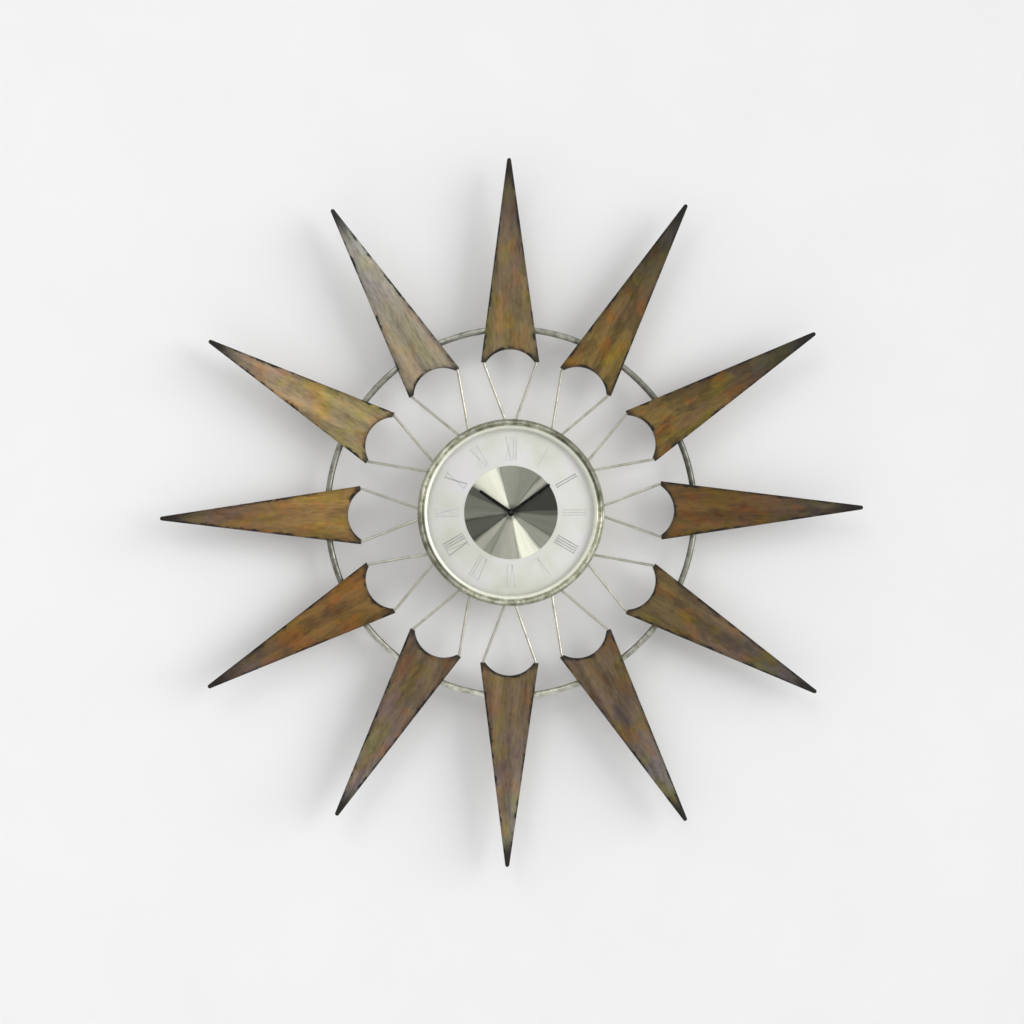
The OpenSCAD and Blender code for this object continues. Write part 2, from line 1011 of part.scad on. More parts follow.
ray_01();
ray_02();
ray_03();
ray_04();
ray_05();
ray_06();
ray_07();
ray_08();
ray_09();
ray_10();
ray_11();
ray_12();
outer_ring();
spoke_wires();
ray_saddles();
ray_screws();
case_drum();
dial_pan();
bezel();
lens();
dial();
dial_disc();
hour_hand();
minute_hand();
hand_nut();
back_cover();
cover_screws();
hanger_plate();
hanger_rivets();
set_knob();
winding_key();
front_plate();
back_plate();
pillars();
pan_spacers();
movement_screws();
barrel();
barrel_cap();
barrel_arbor();
mainspring();
ratchet_wheel();
click();
click_stud();
click_spring();
intermediate_wheel();
centre_wheel();
third_wheel();
fourth_wheel();
escape_wheel();
pallet_lever();
balance_wheel();
hairspring();
hairspring_stud();
cannon_pinion();
minute_wheel();
motion_stud();
hour_wheel();
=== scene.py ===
"""Sunburst wall clock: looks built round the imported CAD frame."""
import json
import math

import bmesh
import bpy
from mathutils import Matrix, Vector


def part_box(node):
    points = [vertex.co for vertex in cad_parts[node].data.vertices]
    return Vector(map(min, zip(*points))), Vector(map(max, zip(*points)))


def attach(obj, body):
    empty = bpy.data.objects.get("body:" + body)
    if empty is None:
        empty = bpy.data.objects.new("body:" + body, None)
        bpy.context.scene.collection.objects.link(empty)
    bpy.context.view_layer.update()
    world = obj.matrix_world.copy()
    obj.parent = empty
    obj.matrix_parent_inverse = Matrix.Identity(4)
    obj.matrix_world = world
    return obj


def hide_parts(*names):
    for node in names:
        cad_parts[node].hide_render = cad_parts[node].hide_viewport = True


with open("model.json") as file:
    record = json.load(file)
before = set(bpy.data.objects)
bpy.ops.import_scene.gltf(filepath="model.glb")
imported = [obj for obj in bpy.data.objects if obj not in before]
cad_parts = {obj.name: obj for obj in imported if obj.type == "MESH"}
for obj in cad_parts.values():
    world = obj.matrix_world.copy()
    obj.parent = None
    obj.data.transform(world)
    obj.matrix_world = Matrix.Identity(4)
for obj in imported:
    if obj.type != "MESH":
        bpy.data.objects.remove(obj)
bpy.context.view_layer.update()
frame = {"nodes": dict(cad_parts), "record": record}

MM = 0.001
WALL_BODY = "clock_frame"

# ---------------------------------------------------------------- sizes taken from the frame


def span(node):
    """Lowest and highest corner of a CAD node's box."""
    low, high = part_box(node)
    return Vector(low), Vector(high)


RING_LOW, RING_HIGH = span("outer_ring")
RAY_LOW, RAY_HIGH = span("ray_01")
WIRE_LOW, WIRE_HIGH = span("spoke_wires")

# Distances in front of the wall are kept positive here and turned into -Y by front()
RAY_BACK = -RAY_HIGH.y
RAY_FRONT = -RAY_LOW.y
RING_ROD = (RING_HIGH.y - RING_LOW.y) / 2
RING_R = RING_HIGH.x - RING_ROD
RING_DEPTH = -(RING_HIGH.y + RING_LOW.y) / 2
WIRE_ROD = (WIRE_HIGH.y - WIRE_LOW.y) / 2
WIRE_DEPTH = -(WIRE_HIGH.y + WIRE_LOW.y) / 2
BEZEL_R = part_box("bezel")[1][2]
DIAL_FACE = -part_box("dial")[0][1]
CASE_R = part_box("case_drum")[1][0]
CASE_FRONT = -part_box("case_drum")[0][1]
LENS_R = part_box("lens")[1][0]
LENS_APEX = -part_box("lens")[0][1]
LENS_THICK = 2 * MM
LENS_RIM = CASE_FRONT + 2.86 * MM
BEZEL_OPEN_R = 71.7 * MM

# Outline of a ray, as made in the CAD
RAYS = 12
RAY_STEP = 360 / RAYS
RAY_LEAN = (-0.3, -0.3, -0.5, -0.8, 0.5, 0.4, 0.6, 0, 0, -1, -0.4, -0.6)
RAY_TRIM = (0, 0, 1, 2, 0, 0, 0, 4, 4, 3, 6, 2)
TIP_R = RAY_HIGH.z
PRONG_R = 129.5 * MM
PRONG_HALF = 25.1 * MM
TIP_HALF = 1.8 * MM
HOLLOW_R = 25.2 * MM
HOLLOW_Y = 140.6 * MM - HOLLOW_R
EDGE_ROUND = 0.8 * MM
BACK_EASE = 0.45 * MM

# Spoke wires: root in the case wall, bend behind the prong, end on the ring
WIRE_GAP_IN = 9.2 * MM
WIRE_GAP_OUT = 47.6 * MM
WIRE_BEND = (WIRE_GAP_OUT / 2, PRONG_R + 2 * MM)
WIRE_SLOPE = (WIRE_GAP_OUT - WIRE_GAP_IN) / 2 / (WIRE_BEND[1] - BEZEL_R)
ROOT_Y = CASE_R - 0.8 * MM
WIRE_ROOT = (max(WIRE_GAP_IN / 2 - WIRE_SLOPE * (BEZEL_R - ROOT_Y), 1.2 * WIRE_ROD), ROOT_Y)
END_X = WIRE_GAP_OUT / 2 - 4.6 * MM
WIRE_END = (END_X, math.sqrt((RING_R - RING_ROD - 0.15 * MM) ** 2 - END_X ** 2))


def front(x, y, depth):
    """Point given as seen from the front: x right, y up, depth out from the wall."""
    return (x, -depth, y)


def turned(x, y, clockwise):
    """Point turned clockwise about the hands' axis by degrees, as seen from the front."""
    a = math.radians(clockwise)
    return x * math.cos(a) + y * math.sin(a), y * math.cos(a) - x * math.sin(a)


def ray_angle(k):
    """Direction of ray k clockwise from twelve, in degrees."""
    return k * RAY_STEP + RAY_LEAN[k]


# ---------------------------------------------------------------- mesh helpers

SAME_POINT = 1e-7


def new_mesh(name, verts, faces, smooth=True):
    """Object from points and faces, linked to the scene."""
    mesh = bpy.data.meshes.new(name)
    mesh.from_pydata(verts, [], faces)
    mesh.validate()
    mesh.update()
    for poly in mesh.polygons:
        poly.use_smooth = smooth
    obj = bpy.data.objects.new(name, mesh)
    bpy.context.scene.collection.objects.link(obj)
    return obj


def edit(obj, change):
    """Runs change(bm) on the object's mesh."""
    bm = bmesh.new()
    bm.from_mesh(obj.data)
    change(bm)
    bm.to_mesh(obj.data)
    bm.free()
    return obj


def outward(obj):
    """Makes all face normals point out."""
    return edit(obj, lambda bm: bmesh.ops.recalc_face_normals(bm, faces=bm.faces))


def sharpen(obj, degrees):
    """Keeps edges steeper than the angle crisp while the rest shades smooth."""
    def crease(bm):
        for line in bm.edges:
            if len(line.link_faces) == 2 and line.calc_face_angle(0) > math.radians(degrees):
                line.smooth = False
    return edit(obj, crease)


def weld(obj):
    """Joins points that lie on each other."""
    edit(obj, lambda bm: bmesh.ops.remove_doubles(bm, verts=bm.verts, dist=SAME_POINT))
    return outward(obj)


def add_ring(profile, steps, verts, faces, wobble=None):
    """Adds a closed ring from a closed profile of (radius, depth); wobble(i, j) returns (dr, dd)."""
    start = len(verts)
    n = len(profile)
    for i in range(steps):
        a = 2 * math.pi * i / steps
        for j, (r, d) in enumerate(profile):
            dr, dd = wobble(i, j) if wobble else (0, 0)
            verts.append(front((r + dr) * math.sin(a), (r + dr) * math.cos(a), d + dd))
    for i in range(steps):
        here, ahead = start + i * n, start + (i + 1) % steps * n
        for j in range(n):
            k = (j + 1) % n
            faces.append((here + j, here + k, ahead + k, ahead + j))


def revolve(name, profile, steps, wobble=None):
    """Object made of one closed ring."""
    verts, faces = [], []
    add_ring(profile, steps, verts, faces, wobble)
    return outward(new_mesh(name, verts, faces))


def add_tube(points, radii, sides, verts, faces):
    """Adds a round tube with closed ends along 3-D points, with one radius per point."""
    pts = [Vector(p) for p in points]
    start = len(verts)
    up = Vector((0, 1, 0))
    for i, (p, r) in enumerate(zip(pts, radii)):
        ahead = (pts[min(i + 1, len(pts) - 1)] - pts[max(i - 1, 0)]).normalized()
        side = ahead.cross(up).normalized()
        lift = side.cross(ahead).normalized()
        for k in range(sides):
            a = 2 * math.pi * k / sides
            verts.append(tuple(p + side * (r * math.cos(a)) + lift * (r * math.sin(a))))
    for i in range(len(pts) - 1):
        for k in range(sides):
            a = start + i * sides + k
            b = start + i * sides + (k + 1) % sides
            faces.append((a, b, b + sides, a + sides))
    last = start + (len(pts) - 1) * sides
    faces.append(tuple(start + k for k in range(sides)))
    faces.append(tuple(last + k for k in reversed(range(sides))))


# ---------------------------------------------------------------- node material helper


class Shader:
    """Small builder for a node material: add() makes a node and wires its inputs."""

    def __init__(self, name):
        self.mat = bpy.data.materials.new(name)
        self.mat.use_nodes = True
        self.tree = self.mat.node_tree
        self.tree.nodes.clear()

    def add(self, kind, inputs=None, **props):
        node = self.tree.nodes.new(kind)
        for key, value in props.items():
            setattr(node, key, value)
        for key, value in (inputs or {}).items():
            socket = node.inputs[key]
            if isinstance(value, bpy.types.NodeSocket):
                self.tree.links.new(value, socket)
            else:
                socket.default_value = value
        return node

    def math(self, operation, a, b=0.0):
        return self.add("ShaderNodeMath", {0: a, 1: b}, operation=operation).outputs[0]

    def weighted(self, a, part_a, b, part_b):
        """Sum of two values, each times its part."""
        return self.math("ADD", self.math("MULTIPLY", a, part_a), self.math("MULTIPLY", b, part_b))

    def length(self, a, b):
        """Length of the arrow (a, b)."""
        squares = self.math("ADD", self.math("MULTIPLY", a, a), self.math("MULTIPLY", b, b))
        return self.math("SQRT", squares)

    def noise(self, vector, scale, detail=3.0, rough=0.5):
        node = self.add("ShaderNodeTexNoise", {"Vector": vector, "Scale": scale,
                        "Detail": detail, "Roughness": rough})
        return node.outputs[0]

    def split(self, vector):
        node = self.add("ShaderNodeSeparateXYZ", {0: vector})
        return node.outputs[0], node.outputs[1], node.outputs[2]

    def join(self, x, y, z):
        return self.add("ShaderNodeCombineXYZ", {0: x, 1: y, 2: z}).outputs[0]

    def stretch(self, vector, x, y, z):
        node = self.add("ShaderNodeVectorMath", {0: vector, 1: (x, y, z)}, operation="MULTIPLY")
        return node.outputs[0]

    def shift(self, vector, x, y, z):
        node = self.add("ShaderNodeVectorMath", {0: vector, 1: (x, y, z)}, operation="ADD")
        return node.outputs[0]

    def ramp(self, fac, *stops):
        node = self.add("ShaderNodeValToRGB", {"Fac": fac})
        line = node.color_ramp
        while len(line.elements) < len(stops):
            line.elements.new(0.5)
        for element, (place, colour) in zip(line.elements, stops):
            element.position = place
            element.color = (*colour, 1) if len(colour) == 3 else colour
        return node.outputs[0]

    def span_of(self, value, low, high, to_low=0.0, to_high=1.0):
        """Smooth step of value from to_low at low to to_high at high."""
        node = self.add("ShaderNodeMapRange", {"Value": value, "From Min": low,
                        "From Max": high, "To Min": to_low, "To Max": to_high})
        node.interpolation_type = "SMOOTHSTEP"
        return node.outputs[0]

    def mix(self, fac, a, b, blend="MIX"):
        node = self.add("ShaderNodeMix", data_type="RGBA", blend_type=blend)
        for key, value in ((0, fac), (6, a), (7, b)):
            socket = node.inputs[key]
            if isinstance(value, bpy.types.NodeSocket):
                self.tree.links.new(value, socket)
            elif key == 0:
                socket.default_value = value
            else:
                socket.default_value = (*value, 1) if len(value) == 3 else value
        return node.outputs[2]

    def bump(self, height, strength, distance):
        inputs = {"Height": height, "Strength": strength, "Distance": distance}
        return self.add("ShaderNodeBump", inputs).outputs[0]

    def clock_angle(self, x, z, jitter=0.0):
        """Direction clockwise from twelve, as a share of a whole turn."""
        angle = self.math("ARCTAN2", x, z)
        return self.math("ADD", self.math("DIVIDE", angle, 2 * math.pi), jitter)

    def fans(self, turn, fans, base):
        """Brightness round the clock: base raised by (direction, flat half, soft, level) fans."""
        light = base
        for direction, flat, soft, level in fans:
            away = self.math("PINGPONG", self.math("SUBTRACT", turn, direction / 360), 0.5)
            fan = self.span_of(away, flat / 360, (flat + soft) / 360, level, 0.0)
            light = self.math("MAXIMUM", light, fan)
        return light

    def object_space(self):
        return self.add("ShaderNodeTexCoord").outputs["Object"]

    def attribute(self, name, output):
        return self.add("ShaderNodeAttribute", attribute_name=name,
                        attribute_type="GEOMETRY").outputs[output]

    def principled(self, **inputs):
        """Ends the material in a Principled surface; an underscore stands for a space."""
        named = {key.replace("_", " "): value for key, value in inputs.items()}
        shader = self.add("ShaderNodeBsdfPrincipled", named)
        self.finish(shader.outputs[0])
        return self.mat

    def finish(self, surface):
        out = self.add("ShaderNodeOutputMaterial")
        self.tree.links.new(surface, out.inputs["Surface"])
        return self.mat


def dress(node, material):
    """Gives a carried CAD node its material."""
    obj = frame["nodes"][node]
    if not obj.material_slots:
        obj.data.materials.append(material)
    for place in obj.material_slots:
        place.material = material
    return obj


# ---------------------------------------------------------------- materials


def srgb(r, g, b):
    """Linear colour from a display colour given in 0 to 255."""
    def line(v):
        v /= 255
        return v / 12.92 if v <= 0.04045 else ((v + 0.055) / 1.055) ** 2.4
    return line(r), line(g), line(b)


# Stains of the boards, and one painted highlight, as display colours near the foot, at the middle
# and near the tip
STAINS = {
    "olive": ((124, 108, 72), (122, 104, 78), (93, 81, 67)),
    "honey": ((122, 100, 53), (101, 82, 49), (70, 65, 54)),
    "rust": ((102, 77, 38), (97, 71, 42), (80, 68, 58)),
    "umber": ((104, 87, 54), (103, 86, 66), (94, 89, 80)),
    "plum": ((107, 90, 67), (108, 93, 78), (127, 119, 108)),
    "amber": ((144, 114, 66), (127, 99, 60), (100, 83, 70)),
    "straw": ((150, 136, 96), (160, 139, 108), (136, 124, 108)),
    # Not a stain: this washed-out grey, paler towards the tip, is a painted highlight, the glare of
    # a lamp painted into the eleven o'clock board
    "painted_glare": ((149, 139, 118), (155, 148, 134), (159, 158, 151)),
}
# Each board's stain, how light it came out and how far its colour wanders, clockwise from twelve;
# the eleven o'clock board's colour is a painted highlight
BOARDS = (("olive", 0.95, 0.6), ("honey", 0.95, 1.0), ("honey", 0.93, 1.1), ("rust", 0.94, 0.9),
          ("umber", 0.95, 0.9), ("plum", 0.93, 0.8), ("plum", 1.00, 0.6), ("plum", 0.96, 0.8),
          ("rust", 1.10, 0.8), ("amber", 0.94, 0.6), ("straw", 0.96, 0.6), ("painted_glare", 0.95, 0.3))
# Blotches of the stain: where their pattern starts, how they tint the board and how strongly
BLOTCHES = ((3.0, (1.00, 1.10, 0.50), 1.0), (11.0, (1.34, 0.90, 0.58), 0.85),
            (19.0, (0.92, 0.84, 1.16), 0.8), (27.0, (0.56, 0.56, 0.58), 0.75))
PORE_BROWN = (0.045, 0.024, 0.016)
EDGE_BROWN = srgb(25, 23, 21)


def wood_figure(s, placed, x):
    """Fine growth lines that drift slowly across the board, under bands and streaks."""
    warp = s.noise(s.stretch(placed, 24, 5, 24), 1.0, 2.0)
    lines = s.math("SINE", s.weighted(x, 330, warp, 9))
    bands = s.noise(s.stretch(placed, 160, 12, 120), 1.0, 5.0, 0.62)
    streak = s.noise(s.stretch(placed, 460, 120, 400), 1.0, 3.0, 0.6)
    return s.math("ADD", s.math("MULTIPLY", lines, 0.06), s.weighted(bands, 0.52, streak, 0.48))


def board_tone(s, k, placed, y, figure):
    """Stain of ray k from foot to tip, shaded by the figure and broken by blotches."""
    stain, lift, wander = BOARDS[k]
    foot, middle, end = (srgb(*(v * lift for v in tone)) for tone in STAINS[stain])
    cloud = s.noise(s.stretch(placed, 40, 26, 40), 1.0, 4.0, 0.62)
    drift = s.math("MULTIPLY", s.math("SUBTRACT", cloud, 0.5), 70 * MM)
    along = s.span_of(s.math("ADD", y, drift), PRONG_R, TIP_R)
    base = s.ramp(along, (0.10, foot), (0.48, middle), (0.86, end))
    shade = s.ramp(figure, (0.30, (0.58, 0.56, 0.54)), (0.49, (1.0, 1.0, 1.0)),
                   (0.66, (1.38, 1.36, 1.30)))
    colour = s.mix(1.0, base, shade, "MULTIPLY")
    for place, tint, share in BLOTCHES:
        spot = s.noise(s.stretch(s.shift(placed, place, 0, place), 62, 34, 62), 1.0, 3.0, 0.6)
        mask = s.span_of(spot, 0.50, 0.61, 0, min(share * wander, 1.0))
        colour = s.mix(mask, colour, tint, "MULTIPLY")
    return colour


def dark_edges(s, k, placed, x, y):
    """How dark the stain is at the rim, the side walls, the two prongs and the tip of ray k."""
    tip_y = TIP_R - RAY_TRIM[k] * MM
    slope = (PRONG_HALF - TIP_HALF) / (tip_y - TIP_HALF - PRONG_R)
    half = s.math("SUBTRACT", PRONG_HALF + slope * PRONG_R, s.math("MULTIPLY", y, slope))
    side = s.math("SUBTRACT", half, s.math("ABSOLUTE", x))
    hollow = s.math("SUBTRACT", s.length(x, s.math("SUBTRACT", y, HOLLOW_Y)), HOLLOW_R)
    edge = s.math("MINIMUM", side, hollow)

    rag = s.noise(s.stretch(placed, 190, 120, 190), 1.0, 4.0, 0.65)
    ragged = s.math("ADD", edge, s.math("MULTIPLY", s.math("SUBTRACT", rag, 0.5), 6.4 * MM))
    broken = s.noise(s.stretch(s.shift(placed, 7, 0, 0), 85, 60, 85), 1.0, 3.0, 0.6)
    kept = s.span_of(broken, 0.42, 0.56, 0.22, 1.0)
    rim = s.math("MULTIPLY", s.span_of(ragged, 0.8 * MM, 2.8 * MM, 0.98, 0.0), kept)
    soft = s.span_of(ragged, 0.5 * MM, 5 * MM, 0.22, 0.0)
    wall = s.span_of(edge, 0.05 * MM, 0.5 * MM, 0.75, 0.0)
    prong = s.span_of(s.math("ADD", y, s.math("MULTIPLY", rag, 6 * MM)),
                      PRONG_R + 4 * MM, PRONG_R + 12 * MM, 0.85, 0.0)
    tip = s.span_of(s.math("ADD", y, s.math("MULTIPLY", rag, 16 * MM)),
                    tip_y - 26 * MM, tip_y - 1 * MM, 0.0, 0.94)
    dark = rim
    for part in (soft, wall, prong, tip):
        dark = s.math("MAXIMUM", dark, part)
    return dark


def walnut(k):
    """Satin walnut for ray k: straight figure along the ray, blotchy stain, dark edges and tip."""
    s = Shader("walnut_%02d" % (k + 1))
    grain = s.attribute("grain", "Vector")
    x, y, _ = s.split(grain)
    placed = s.shift(grain, 3.1 * k + 1, 1.7 * k, 0.9 * k)
    figure = wood_figure(s, placed, x)
    colour = board_tone(s, k, placed, y, figure)

    # Open pores: short dark dashes along the grain
    pores = s.noise(s.stretch(placed, 2400, 95, 1500), 1.0, 2.0, 0.5)
    pore = s.span_of(pores, 0.60, 0.70)
    colour = s.mix(s.math("MULTIPLY", pore, 0.40), colour, PORE_BROWN)
    colour = s.mix(dark_edges(s, k, placed, x, y), colour, EDGE_BROWN)

    wear = s.noise(s.stretch(placed, 55, 22, 55), 1.0, 4.0)
    rough = s.math("ADD", s.span_of(wear, 0.3, 0.7, 0.36, 0.52), s.math("MULTIPLY", pore, 0.16))
    height = s.math("SUBTRACT", s.math("MULTIPLY", figure, 0.5), s.math("MULTIPLY", pore, 0.5))
    return s.principled(Base_Color=colour, Roughness=rough, Coat_Weight=0.06,
                        Coat_Roughness=0.35, Specular_IOR_Level=0.20,
                        Normal=s.bump(height, 0.35, 0.18 * MM))


def aged_brass(name, bright, dull, rough=(0.22, 0.42), mottling=90, scratch=0.12):
    """Lacquered brass with dull patches, faint smears and fine scratches."""
    s = Shader(name)
    co = s.object_space()
    patch = s.noise(co, mottling, 5.0, 0.6)
    speck = s.noise(co, mottling * 12, 3.0, 0.55)
    share = s.weighted(patch, 0.75, speck, 0.25)
    colour = s.ramp(share, (0.36, dull), (0.60, bright))
    lines = s.noise(s.stretch(co, 2600, 2600, 220), 1.0, 2.0, 0.5)
    roughness = s.span_of(share, 0.35, 0.65, rough[1], rough[0])
    return s.principled(Base_Color=colour, Metallic=1.0, Roughness=roughness,
                        Normal=s.bump(lines, scratch, 0.05 * MM))


def turned_metal(name, bright, dull, rough=(0.25, 0.4), pitch=2600, depth=0.2, front_edge=None):
    """Metal turned in circles about the axis of the hands; front_edge is (depth, colour there)."""
    s = Shader(name)
    co = s.object_space()
    x, y, z = s.split(co)
    rings = s.noise(s.join(s.length(x, z), y, 0.0), pitch, 3.0, 0.65)
    patch = s.noise(co, 60, 4.0, 0.55)
    share = s.weighted(patch, 0.6, rings, 0.4)
    colour = s.ramp(share, (0.35, dull), (0.62, bright))
    if front_edge:
        edge, tone = front_edge
        ahead = s.span_of(y, -edge - 0.3 * MM, -edge + 0.3 * MM, 1.0, 0.0)
        colour = s.mix(ahead, colour, tone)
    roughness = s.span_of(share, 0.3, 0.7, rough[1], rough[0])
    return s.principled(Base_Color=colour, Metallic=1.0, Roughness=roughness,
                        Normal=s.bump(rings, depth, 0.03 * MM))


def plain_steel(name, colour=(0.62, 0.63, 0.65), dull=(0.42, 0.42, 0.43)):
    """Rolled or zinc-plated steel with a faint grain."""
    s = Shader(name)
    co = s.object_space()
    grain = s.noise(s.stretch(co, 3000, 260, 260), 1.0, 3.0, 0.6)
    patch = s.noise(co, 140, 4.0, 0.6)
    share = s.weighted(patch, 0.6, grain, 0.4)
    tone = s.ramp(share, (0.34, dull), (0.64, colour))
    return s.principled(Base_Color=tone, Metallic=1.0,
                        Roughness=s.span_of(share, 0.3, 0.7, 0.46, 0.30),
                        Normal=s.bump(grain, 0.15, 0.04 * MM))


# Painted reflections of the sunray spinning, fans of reflected light painted into the colour:
# direction clockwise from twelve, flat half, soft edge, level
PAINTED_REFLECTION_FANS = ((12, 24, 8, 0.34), (45, 2, 7, 0.50), (92, 2, 9, 0.14), (107, 10, 9, 0.26),
        (131, 6, 10, 0.42), (155, 10, 8, 1.0), (188, 15, 9, 0.47), (213, 4, 6, 0.37),
        (223, 4, 9, 0.50), (247, 10, 6, 0.12), (268, 3, 7, 0.26), (281, 10, 8, 0.23),
        (300, 3, 8, 0.13), (325, 14, 10, 0.98))
PAINTED_REFLECTION_BASE = 0.062


def spun_disc():
    """Sunray-spun aluminium: fine circular grooves, with fans of light and dark painted into its
    colour as painted reflections.
    """
    s = Shader("spun_aluminium")
    co = s.object_space()
    x, _, z = s.split(co)
    radius = s.length(x, z)
    rings = s.noise(s.join(radius, 0.0, 0.0), 5200, 3.0, 0.7)
    angle = s.math("ARCTAN2", x, z)
    around = s.join(s.math("SINE", angle), s.math("COSINE", angle), s.math("MULTIPLY", radius, 4))
    rays = s.noise(around, 9, 5.0, 0.7)
    jitter = s.math("MULTIPLY", s.math("SUBTRACT", rays, 0.5), 0.03)
    # Painted reflection: base brightness set by direction round the clock
    light = s.fans(s.clock_angle(x, z, jitter), PAINTED_REFLECTION_FANS, PAINTED_REFLECTION_BASE)
    hub = s.span_of(radius, 4 * MM, 9 * MM, 0.45, 1.0)
    light = s.math("MULTIPLY", light, hub)
    level = s.join(light, light, s.math("MULTIPLY", light, 0.87))
    fine = s.ramp(s.weighted(rays, 0.6, rings, 0.4), (0.34, (0.84, 0.84, 0.80)),
                  (0.66, (1.12, 1.12, 1.08)))
    colour = s.mix(1.0, level, fine, "MULTIPLY")
    tangent = s.add("ShaderNodeTangent", direction_type="RADIAL", axis="Y").outputs[0]
    return s.principled(Base_Color=colour, Metallic=1.0, Roughness=0.34, Anisotropic=0.85,
                        Tangent=tangent, Normal=s.bump(rings, 0.05, 0.01 * MM))


# Painted highlights and painted shade round the ring rod, and brighter and darker sectors round the
# bezel, in the same form as the fans
RING_PAINTED_LIGHT = ((10, 20, 28, 1.10), (45, 8, 22, 0.62), (110, 10, 25, 0.86), (150, 15, 25, 1.25),
             (192, 22, 34, 1.85), (252, 12, 16, 0.62), (285, 15, 25, 0.84), (330, 25, 25, 0.95))
RING_PAINTED_SHADE = 0.42
BEZEL_FANS = ((0, 20, 28, 0.71), (120, 25, 32, 0.98), (180, 25, 35, 0.93), (240, 14, 20, 0.51),
              (300, 22, 26, 0.90))
BEZEL_DARK = 0.40


def painted_light_ring():
    """Rod of dulled brass with painted light: painted shade leaves it greyer and darker on one side,
    painted highlights brighten the other.
    """
    s = Shader("ring_brass")
    co = s.object_space()
    x, _, z = s.split(co)
    # Painted highlights and painted shade: brightness of the rod set by direction round the clock
    level = s.fans(s.clock_angle(x, z), RING_PAINTED_LIGHT, RING_PAINTED_SHADE)
    patch = s.noise(co, 150, 5.0, 0.6)
    speck = s.noise(co, 1500, 3.0, 0.55)
    share = s.weighted(patch, 0.75, speck, 0.25)
    tone = s.ramp(share, (0.38, (0.20, 0.20, 0.165)), (0.60, (0.43, 0.43, 0.37)))
    grey = s.join(level, level, level)
    lines = s.noise(s.stretch(co, 2600, 2600, 220), 1.0, 2.0, 0.5)
    return s.principled(Base_Color=s.mix(1.0, tone, grey, "MULTIPLY"), Metallic=1.0,
                        Roughness=s.span_of(share, 0.35, 0.65, 0.46, 0.28),
                        Normal=s.bump(lines, 0.12, 0.05 * MM))


def gilt_bezel():
    """Antique gold gone patchy, with a pale inner lip that is a painted reflection of the dial."""
    s = Shader("bezel_gold")
    co = s.object_space()
    x, _, z = s.split(co)
    radius = s.length(x, z)
    level = s.fans(s.clock_angle(x, z), BEZEL_FANS, BEZEL_DARK)
    patch = s.noise(co, 125, 5.0, 0.66)
    speck = s.noise(co, 900, 3.0, 0.55)
    share = s.weighted(patch, 0.8, speck, 0.2)
    tone = s.ramp(share, (0.38, (0.26, 0.265, 0.175)), (0.49, (0.50, 0.50, 0.38)),
                  (0.60, (0.80, 0.79, 0.67)))
    grey = s.join(level, level, level)
    tone = s.mix(1.0, tone, grey, "MULTIPLY")
    rim = s.span_of(radius, BEZEL_R - 2.2 * MM, BEZEL_R - 0.2 * MM, 0.0, 0.5)
    tone = s.mix(rim, tone, (0.26, 0.26, 0.18))
    # Painted reflection: the inner lip is painted pale cream, as if it mirrored the dial
    lip = s.span_of(radius, BEZEL_OPEN_R + 1.3 * MM, BEZEL_OPEN_R + 3.7 * MM, 0.9, 0.0)
    tone = s.mix(lip, tone, (0.86, 0.87, 0.76))
    roughness = s.math("ADD", s.span_of(share, 0.35, 0.65, 0.54, 0.40),
                       s.math("MULTIPLY", lip, 0.16))
    return s.principled(Base_Color=tone, Metallic=1.0, Roughness=roughness,
                        Normal=s.bump(patch, 0.25, 0.10 * MM))


def silvered_dial():
    """Silver-white chapter ring with a faint cast and fine grain."""
    s = Shader("silvered_dial")
    co = s.object_space()
    cloud = s.noise(co, 34, 4.0, 0.55)
    grain = s.noise(co, 5200, 2.0, 0.6)
    share = s.weighted(cloud, 0.8, grain, 0.2)
    colour = s.ramp(share, (0.36, (0.66, 0.67, 0.58)), (0.50, (0.74, 0.74, 0.69)),
                    (0.62, (0.78, 0.755, 0.765)))
    return s.principled(Base_Color=colour, Metallic=0.0, Coat_Weight=0.1, Coat_Roughness=0.3,
                        Roughness=s.span_of(grain, 0.3, 0.7, 0.36, 0.48),
                        Normal=s.bump(grain, 0.06, 0.02 * MM))


def printed_ink():
    """Silver-grey print, worn in places; most numerals are painted pale, almost to the colour of the
    dial, as a painted reflection of the ink's sheen.
    """
    s = Shader("dial_ink")
    co = s.object_space()
    fray = s.noise(co, 4200, 3.0, 0.6)
    kept = s.noise(co, 260, 3.0, 0.6)
    strong = s.attribute("ink", "Fac")
    tone = s.weighted(fray, 0.5, kept, 0.5)
    # Painted reflection: most numerals get this pale tone for the sheen of their ink; only the
    # strong hours keep the darker print
    pale = s.ramp(tone, (0.36, (0.50, 0.50, 0.49)), (0.62, (0.68, 0.68, 0.67)))
    deep = s.ramp(tone, (0.36, (0.26, 0.26, 0.27)), (0.62, (0.48, 0.48, 0.48)))
    return s.principled(Base_Color=s.mix(strong, pale, deep),
                        Roughness=s.span_of(fray, 0.3, 0.7, 0.45, 0.6))


def black_lacquer():
    """Satin black paint with a faint orange-peel surface."""
    s = Shader("satin_black")
    co = s.object_space()
    orange = s.noise(co, 1900, 3.0, 0.55)
    colour = s.ramp(orange, (0.3, (0.003, 0.003, 0.003)), (0.7, (0.007, 0.007, 0.006)))
    return s.principled(Base_Color=colour, Roughness=s.span_of(orange, 0.3, 0.7, 0.50, 0.64),
                        Specular_IOR_Level=0.10, Normal=s.bump(orange, 0.08, 0.02 * MM))


